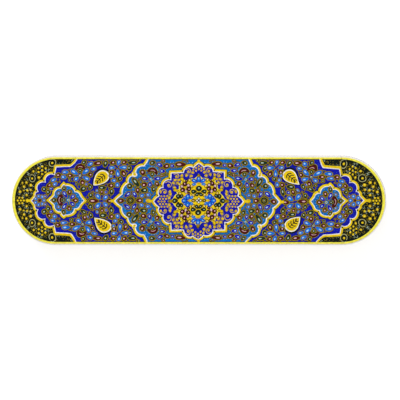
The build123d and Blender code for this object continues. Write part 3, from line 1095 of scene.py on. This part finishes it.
# Buds of the turquoise ground (x, y, angle, long, wide, kind): in a quarter, and on the long axis
LAKE_BUDS = (
    (11.7, 23.4, 2, 6.8, 2.8, "R"), (16.7, 22.5, 20, 2.6, 2.2, "D"), (20.6, 22.3, 165, 3.8, 2.8, "R"),
    (24.7, 23.0, 25, 4.0, 2.5, "D"), (22.8, 19.2, 5, 3.8, 2.4, "D"), (29.4, 24.2, -15, 3.4, 2.4, "G"),
    (35.4, 17.8, 70, 3.5, 3.0, "R"), (34.6, 10.2, -30, 3.4, 2.8, "R"), (26.2, 10.8, 40, 3.2, 2.6, "R"),
    (39.6, 11.6, 54, 6.4, 2.7, "G"), (43.6, 9.4, 20, 3.3, 3.0, "G"), (34.9, 6.6, 170, 4.0, 2.7, "G"),
    (38.6, 6.4, 90, 3.6, 2.3, "R"), (36.0, 3.2, -40, 2.8, 2.3, "B"), (32.2, 3.8, 0, 2.7, 2.2, "B"),
    (45.2, 4.0, 143, 4.8, 2.6, "D"), (40.3, 3.8, 60, 4.4, 2.4, "D"), (29.0, 7.4, 120, 3.0, 2.4, "G"),
)
LAKE_AXIS_BUDS = ((48.9, 0, 0, 3.8, 3.0, "R"), (37.6, 0, 180, 3.8, 2.8, "R"), (32.2, 0, 180, 2.2, 1.8, "Y"))
LAKE_EYE = 42.8


class PENBOX_OT_turquoise(bpy.types.Operator):
    """Paint the flowers and specks of the turquoise ground."""

    bl_idname = "penbox.turquoise"
    bl_label = "Turquoise Flowers"

    def execute(self, context):
        flowers, stems = Relief(SKY), Relief(SKY)
        petals = ((6, 3.5, 4.0, 2.4), (172, 4.3, 5.0, 2.5), (-75, 3.2, 3.4, 2.4))
        open_flower(flowers, 30.4, 13.7, DEEP_BLUE, petals, turn=104)
        eye = ("bronze", "ink", "moss", "bronze")
        beads(flowers, LAKE_EYE, 0, 0, 4.4, 4.4, 0.12, eye, "x", light=0.6, lean=0)
        dots(flowers, [(LAKE_EYE, 0)], 0.95, 0.15, "ink", "x", around=16, low=0.1)
        dots(flowers, [(LAKE_EYE, 0)], 0.4, 0.19, "sage", "x", low=0.15)
        buds(flowers, LAKE_AXIS_BUDS, "x")
        buds(flowers, LAKE_BUDS)
        loop = both_ends([(31.6, 25.6, 0.0)] + LAKE[1:])
        hole = both_ends(MEDALLION)
        undergrowth(flowers, stems, loop, 21, "RRGGDB", (hole,), [(LAKE_EYE, 0, 2.8)])
        specks(stems, scatter(loop, 1.75, 22, 0.9, (), (hole,)), 0.19, "pale")
        stems.build("turquoise_stems", halves=True)
        flowers.build("turquoise_flowers", halves=True)
        return {"FINISHED"}


# The leaf drop: its middle and the way it points
BOTEH_X = 61.8
BOTEH_Y = 14.3
BOTEH_TURN = np.radians(139)
# Buds of the cobalt field (x, y, angle, long, wide, kind): in a quarter, and on the long axis
FIELD_BUDS = (
    (81.2, 16.0, 0, 3.2, 2.6, "R"), (68.4, 16.9, 180, 3.0, 2.7, "R"), (73.6, 11.7, -100, 3.3, 3.0, "R"),
    (73.0, 24.6, 0, 2.6, 2.5, "G"), (68.9, 23.6, 155, 3.9, 2.6, "B"), (64.2, 24.1, 178, 5.2, 2.6, "R"),
    (66.4, 20.6, 170, 3.6, 2.4, "B"), (59.0, 23.7, 80, 3.9, 2.7, "G"), (54.6, 24.4, 180, 3.2, 2.6, "R"),
    (47.2, 24.5, 0, 3.2, 2.7, "R"), (54.4, 18.3, -60, 3.2, 2.8, "R"), (47.2, 17.4, -120, 3.8, 2.7, "R"),
    (42.0, 24.2, 178, 5.6, 2.5, "G"), (43.6, 20.4, 60, 2.8, 2.6, "G"), (50.0, 13.8, 150, 2.8, 2.2, "G"),
    (53.6, 13.0, 180, 2.8, 2.2, "B"), (51.6, 10.4, -90, 3.1, 2.7, "B"), (55.6, 9.9, 180, 3.2, 2.8, "R"),
    (55.2, 5.8, 95, 3.8, 2.3, "G"), (60.6, 8.6, 0, 4.6, 2.4, "G"), (54.9, 15.9, 90, 2.2, 2.0, "B"),
    (58.4, 5.6, 0, 2.0, 1.9, "D"), (61.2, 5.6, 90, 2.6, 2.2, "R"), (68.6, 3.4, 90, 2.8, 2.7, "G"),
    (73.4, 7.4, 150, 3.9, 2.9, "G"), (68.8, 9.2, 240, 3.3, 2.4, "G"), (71.1, 10.6, 0, 2.0, 1.9, "D"),
    (84.6, 18.2, 0, 4.4, 2.6, "B"), (85.6, 15.0, 10, 3.9, 2.5, "B"), (89.2, 16.4, 0, 3.4, 2.7, "R"),
    (92.3, 13.4, -25, 3.9, 2.5, "B"), (91.2, 10.6, -45, 3.0, 2.6, "B"), (95.0, 9.8, 150, 3.3, 2.6, "R"),
    (97.9, 7.2, 30, 3.3, 2.7, "G"), (93.4, 7.4, 20, 2.8, 2.0, "D"), (95.4, 5.4, 0, 2.7, 2.6, "G"),
    (97.4, 2.6, 0, 2.0, 1.9, "D"),
)
FIELD_AXIS_BUDS = ((66.6, 0, 0, 6.2, 2.7, "R"), (56.6, 0, 180, 3.4, 2.6, "R"), (71.6, 0, 0, 2.4, 2.2, "G"))
JEWEL_EYE = 82.4


class PENBOX_OT_field(bpy.types.Operator):
    """Paint the flowers, buds and stems of the cobalt fields."""

    bl_idname = "penbox.field"
    bl_label = "Cobalt Fields"

    def execute(self, context):
        flowers, stems = Relief(FIELD), Relief(FIELD)
        petals = ((31, 4.3, 5.6, 2.7), (142, 4.5, 5.4, 2.9), (-40, 3.1, 3.7, 2.7), (202, 4.1, 4.9, 2.6))
        open_flower(flowers, 75.0, 16.0, BLUE, petals)
        for angle, reach, long in ((0, 3.5, 3.8), (180, 3.4, 5.2), (90, 3.2, 3.8), (-90, 3.4, 4.9)):
            petals_round(flowers, 50.8, 21.0, reach, [angle], long, 2.5, BLUE)
        for angle, reach, long, wide in ((50, 3.5, 4.4, 2.9), (138, 3.2, 3.8, 2.6)):
            petals_round(flowers, 61.4, 0, reach, [angle, -angle], long, wide, BLUE, "x")
        buds(flowers, FIELD_AXIS_BUDS, "x")
        rosette(flowers, -101.3, 0.0, 2.7, 7, 2.2, BLUE)
        rosette(flowers, 101.3, 0.0, 2.6, 5, 2.6, BLUE, turn=180)
        flowers.taken.append((101.3, 0.0, 4.2))
        buds(flowers, FIELD_BUDS)
        loop = both_ends([(77.0, 26.0, 0.0)] + BRACKET[1:])
        holes = (both_ends(LAKE), about_axis(JEWEL))
        circles = ((2.2, 5.3), (-1, 4.6), (-4.6, 2.8))
        room = [(*polar(BOTEH_X, BOTEH_Y, way, BOTEH_TURN), reach) for way, reach in circles]
        undergrowth(flowers, stems, loop, 31, "RRGGBD", holes, room)
        specks(stems, scatter(loop, 1.75, 32, 0.9, [(BOTEH_X, BOTEH_Y, 6.0)], holes), 0.17, "azure")
        stems.build("field_stems", halves=True)
        flowers.build("field_flowers", halves=True)
        return {"FINISHED"}


class PENBOX_OT_jewels(bpy.types.Operator):
    """Paint the flowers of the two turquoise jewels."""

    bl_idname = "penbox.jewels"
    bl_label = "Jewel Flowers"

    def execute(self, context):
        jewels = Relief(SKY)
        x = JEWEL_EYE
        for angle, reach, long in ((58, 4.3, 5.0), (138, 3.2, 3.7)):
            petals_round(jewels, x, 0, reach, [angle, -angle], long, 2.4, DEEP_BLUE, "x")
        petals_round(jewels, x, 0, 5.0, [97, -97], 2.9, 2.3, RED, "x")
        petals_round(jewels, x, 0, 4.1, [180], 3.4, 2.5, RED, "x")
        arch = crescent(x + 3.4, 0, 2.7, 0, 84)
        for width, low, paint in ((3.1, 0.0, "bronze"), (2.6, 0.08, "ink"), (2.1, 0.1, "maroon")):
            line(jewels, arch, width, low + 0.06, paint, "x", low=low)
        line(jewels, arch[4:-4], 0.4, 0.18, "rose", "x", low=0.14)
        beads(jewels, x + 3.0, 0, 0, 2.3, 1.9, 0.13, GREEN, "x", edge=0.2, lean=0)
        buds(jewels, [(x + 9.3, 0, 0, 2.9, 2.4, "G")], "x")
        buds(jewels, [(x + 2.9, 7.4, 90, 2.5, 2.2, "G"), (x + 6.4, 4.3, 130, 2.0, 1.6, "B")])
        dots(jewels, [(x, 0)], 0.9, 0.17, "sage", "x")
        dots(jewels, [(x, 0)], 0.4, 0.2, "ink", "x", low=0.15)
        specks(jewels, scatter(about_axis(JEWEL), 1.6, 33, 0.8), 0.19, "pale")
        jewels.build("jewel_flowers", halves=True)
        return {"FINISHED"}


class PENBOX_OT_botehs(bpy.types.Operator):
    """Paint the four leaf drops of the fields: dark edge, cream line, gold leaf and its fern."""

    bl_idname = "penbox.botehs"
    bl_label = "Leaf Drops"

    def execute(self, context):
        drops = Relief(FIELD)
        ahead = np.array([np.cos(BOTEH_TURN), np.sin(BOTEH_TURN)])
        turn = np.array([ahead, (-ahead[1], ahead[0])])
        place = (BOTEH_X, BOTEH_Y)
        sheet(drops, (teardrop(14.8, 10.2, 1.2) + (0.1, -0.2)) @ turn + place, "ink", "xy", 0.03)
        sheet(drops, teardrop(12.7, 8.3, 1.2) @ turn + place, "cream", "xy", 0.05)
        sheet(drops, teardrop(11.1, 7.1, 1.1) @ turn + place, "gold", "xy", 0.07)
        spine = np.array([(-3.8, 0.3), (-1.0, 0.0), (3.0, 0.0)])
        line(drops, spine @ turn + place, 0.55, 0.15, "ink", low=0.05)
        for along, reach in ((-2.2, 1.0), (-0.5, 1.6), (1.4, 2.1), (3.3, 2.0)):
            vein = arc_path([(along - 1.5, reach, 0.35), (along, 0.0, 0.35), (along - 1.5, -reach, 0.0)])
            line(drops, vein @ turn + place, 0.7, 0.16, "ink", low=0.05)
        drops.build("leaf_drops", halves=True)
        return {"FINISHED"}


# Gold drops of the gardens (x, y, radius), rings round a drop (x, y), and clusters where six drops stand
# round a seventh (x, y, reach, turn, mirror)
GARDEN_DROPS = np.array([
    (104.9, 18.8, 0.8), (101.5, 15.0, 0.9), (110.3, 11.6, 0.95), (113.0, 11.3, 0.6), (107.1, 10.0, 1.05),
    (112.0, 8.9, 0.9), (107.3, 6.9, 0.75), (109.7, 6.6, 0.85), (112.1, 6.4, 0.55), (114.6, 5.6, 0.95),
    (110.2, 3.6, 0.85),
])
GARDEN_RINGS = ((106.0, 14.3), (93.6, 24.1))
GARDEN_CLUSTERS = ((99.6, 19.6, 2.4, 30, "xy"), (114.1, 0.0, 2.0, 0, "x"))
GARDEN_START = 78.0


class PENBOX_OT_gardens(bpy.types.Operator):
    """Paint the gardens at both ends: gold drops, clusters and rings among fine curls on dark green."""

    bl_idname = "penbox.gardens"
    bl_label = "End Gardens"

    def execute(self, context):
        garden = Relief(NIGHT)
        for x, y in GARDEN_RINGS:
            path = curl(x, y, 1.0, 1.0, 2.4, 0.12)
            line(garden, path, 0.56, 0.08, "bronze")
            line(garden, path, 0.24, 0.1, "sage", low=0.06)
            dots(garden, [(x, y)], 0.75, 0.14, "gold")
        places, radii = GARDEN_DROPS[:, :2], GARDEN_DROPS[:, 2]
        dots(garden, places, radii, 0.15, "amber", around=9)
        dots(garden, places + (0.1, 0.1), radii * 0.55, 0.18, "lemon", low=0.08)
        for x, y, reach, turn, mirror in GARDEN_CLUSTERS:
            ring = polar(x, y, reach, np.radians(turn + 60 * np.arange(6)))
            dots(garden, [*ring, (x, y)], 0.68, 0.14, "gold", mirror)
        loop = stadium(HALF_WIDTH - size("border_inset") - size("border_width") - 0.3)
        hole = both_ends([(77.6, 30.0, 0.0)] + BRACKET[1:])
        avoid = [(x, y, 3.1) for x, y in GARDEN_RINGS]
        random = np.random.default_rng(41)
        places = scatter(loop, 2.2, 42, 0.8, avoid, (hole,))
        for x, y in places[places[:, 0] > GARDEN_START]:
            start = random.uniform(0, 6)
            turns = random.choice([-0.8, 0.8])
            path = curl(x, y, start, turns, random.uniform(0.8, 1.5), count=14)
            line(garden, path, 0.2, 0.06, random.choice(["sage", "bronze", "bronze"]))
        places = scatter(loop, 2.0, 43, 0.8, avoid, (hole,))
        specks(garden, places[places[:, 0] > GARDEN_START], 0.18, "bronze")
        garden.build("garden_flowers", halves=True)
        return {"FINISHED"}


# Places in metres, watts and sizes of the lamps
LAMPS = (("key_lamp", (-0.5, 1.3, 1.7), 18.0, 1.1), ("fill_lamp", (1.4, -0.6, 1.6), 4.0, 1.6))
FLOOR_SIZE = 3.0
FLOOR_GLOW = 0.45
SKY_LIGHT = 0.55
# The camera, in millimetres: its height over the top, the width it sees there, the place it looks at, and
# how far it stands to the side of that place
CAMERA_HEIGHT = 6000.0
VIEW_WIDTH = 256.4
SENSOR = 36.0
AIM = (0.9, 0.4)
LEAN = (150.0, 128.0)


class PENBOX_OT_stage(bpy.types.Operator):
    """Set the floor, the lights and the camera of the photograph."""

    bl_idname = "penbox.stage"
    bl_label = "Stage and Camera"

    def execute(self, context):
        half = FLOOR_SIZE / 2
        low = cad_box[0][2]
        corners = [(-half, -half, low), (half, -half, low), (half, half, low), (-half, half, low)]
        mesh = bpy.data.meshes.new("floor")
        mesh.from_pydata(corners, [], [(0, 1, 2, 3)])
        floor = linked("floor", mesh)
        mesh.materials.append(floor_material())
        set_world()
        for name, place, watts, wide in LAMPS:
            lamp = bpy.data.lights.new(name, "AREA")
            lamp.size = wide
            lamp.energy = watts
            holder = linked(name, lamp)
            holder.location = place
            holder.rotation_euler = (-Vector(place)).to_track_quat("-Z", "Y").to_euler()
        lens = bpy.data.cameras.new("camera")
        lens.sensor_width = SENSOR
        lens.lens = SENSOR * CAMERA_HEIGHT / VIEW_WIDTH
        lens.clip_start = 0.1
        lens.clip_end = 20
        camera = linked("camera", lens)
        aim = Vector((*AIM, TOP)) * MM
        camera.location = aim + Vector((*LEAN, CAMERA_HEIGHT)) * MM
        back = (camera.location - aim).normalized()
        right = Vector((0, 1, 0)).cross(back).normalized()
        camera.rotation_euler = Matrix((right, back.cross(right), back)).transposed().to_euler()
        context.scene.camera = camera
        context.scene.view_settings.view_transform = "Standard"
        return {"FINISHED"}


def floor_material():
    """Pale board that also glows a little to the camera, in mirrors and through glass, so that it is white
    where nothing shades it."""
    material = bpy.data.materials.new("floor")
    material.use_nodes = True
    tree = material.node_tree
    shader = tree.nodes["Principled BSDF"]
    shader.inputs["Base Color"].default_value = (0.94, 0.94, 0.94, 1)
    shader.inputs["Roughness"].default_value = 0.9
    shader.inputs["Specular IOR Level"].default_value = 0.0
    shader.inputs["Emission Color"].default_value = (1, 1, 1, 1)
    rays = tree.nodes.new("ShaderNodeLightPath").outputs
    seen = add_node(tree, "Math", {0: rays["Is Camera Ray"], 1: rays["Is Glossy Ray"]}, operation="MAXIMUM")
    seen = add_node(tree, "Math", {0: seen, 1: rays["Is Transmission Ray"]}, operation="MAXIMUM")
    glow = add_node(tree, "Math", {0: seen, 1: FLOOR_GLOW}, operation="MULTIPLY")
    tree.links.new(glow, shader.inputs["Emission Strength"])
    return material


def set_world():
    """A soft even sky that shows white and lights with less."""
    world = bpy.data.worlds.new("studio")
    bpy.context.scene.world = world
    world.use_nodes = True
    tree = world.node_tree
    back = tree.nodes["Background"]
    back.inputs["Color"].default_value = (1, 1, 1, 1)
    seen = add_node(tree, "LightPath", {}, "Is Camera Ray")
    strength = add_node(tree, "MapRange", {"Value": seen, "To Min": SKY_LIGHT, "To Max": 1.0}, "Result")
    tree.links.new(strength, back.inputs["Strength"])


class PENBOX_PT_panel(bpy.types.Panel):
    """The pen box's steps and its paints."""

    bl_idname = "PENBOX_PT_panel"
    bl_label = "Pen Box"
    bl_space_type = "VIEW_3D"
    bl_region_type = "UI"
    bl_category = "Pen Box"

    def draw(self, context):
        for step in STEPS:
            self.layout.operator(step.bl_idname, text=step.bl_label)
        for group in (context.scene.pen_box_sizes, context.scene.pen_box_paints):
            for name in group.bl_rna.properties.keys():
                if name not in ("rna_type", "name"):
                    self.layout.prop(group, name)


STEPS = (
    PENBOX_OT_stage,
    PENBOX_OT_frame_finish,
    PENBOX_OT_grounds,
    PENBOX_OT_borders,
    PENBOX_OT_side_lines,
    PENBOX_OT_medallion,
    PENBOX_OT_turquoise,
    PENBOX_OT_field,
    PENBOX_OT_jewels,
    PENBOX_OT_botehs,
    PENBOX_OT_gardens,
)
CLASSES = (PenBoxPaints, PenBoxSizes, *STEPS, PENBOX_PT_panel)


def register():
    for kind in CLASSES:
        bpy.utils.register_class(kind)
    bpy.types.Scene.pen_box_paints = bpy.props.PointerProperty(type=PenBoxPaints)
    bpy.types.Scene.pen_box_sizes = bpy.props.PointerProperty(type=PenBoxSizes)


def unregister():
    del bpy.types.Scene.pen_box_sizes
    del bpy.types.Scene.pen_box_paints
    for kind in reversed(CLASSES):
        bpy.utils.unregister_class(kind)


def main():
    """Run every step in order."""
    register()
    for step in STEPS:
        family, name = step.bl_idname.split(".")
        getattr(getattr(bpy.ops, family), name)()


if __name__ == "__main__":
    main()
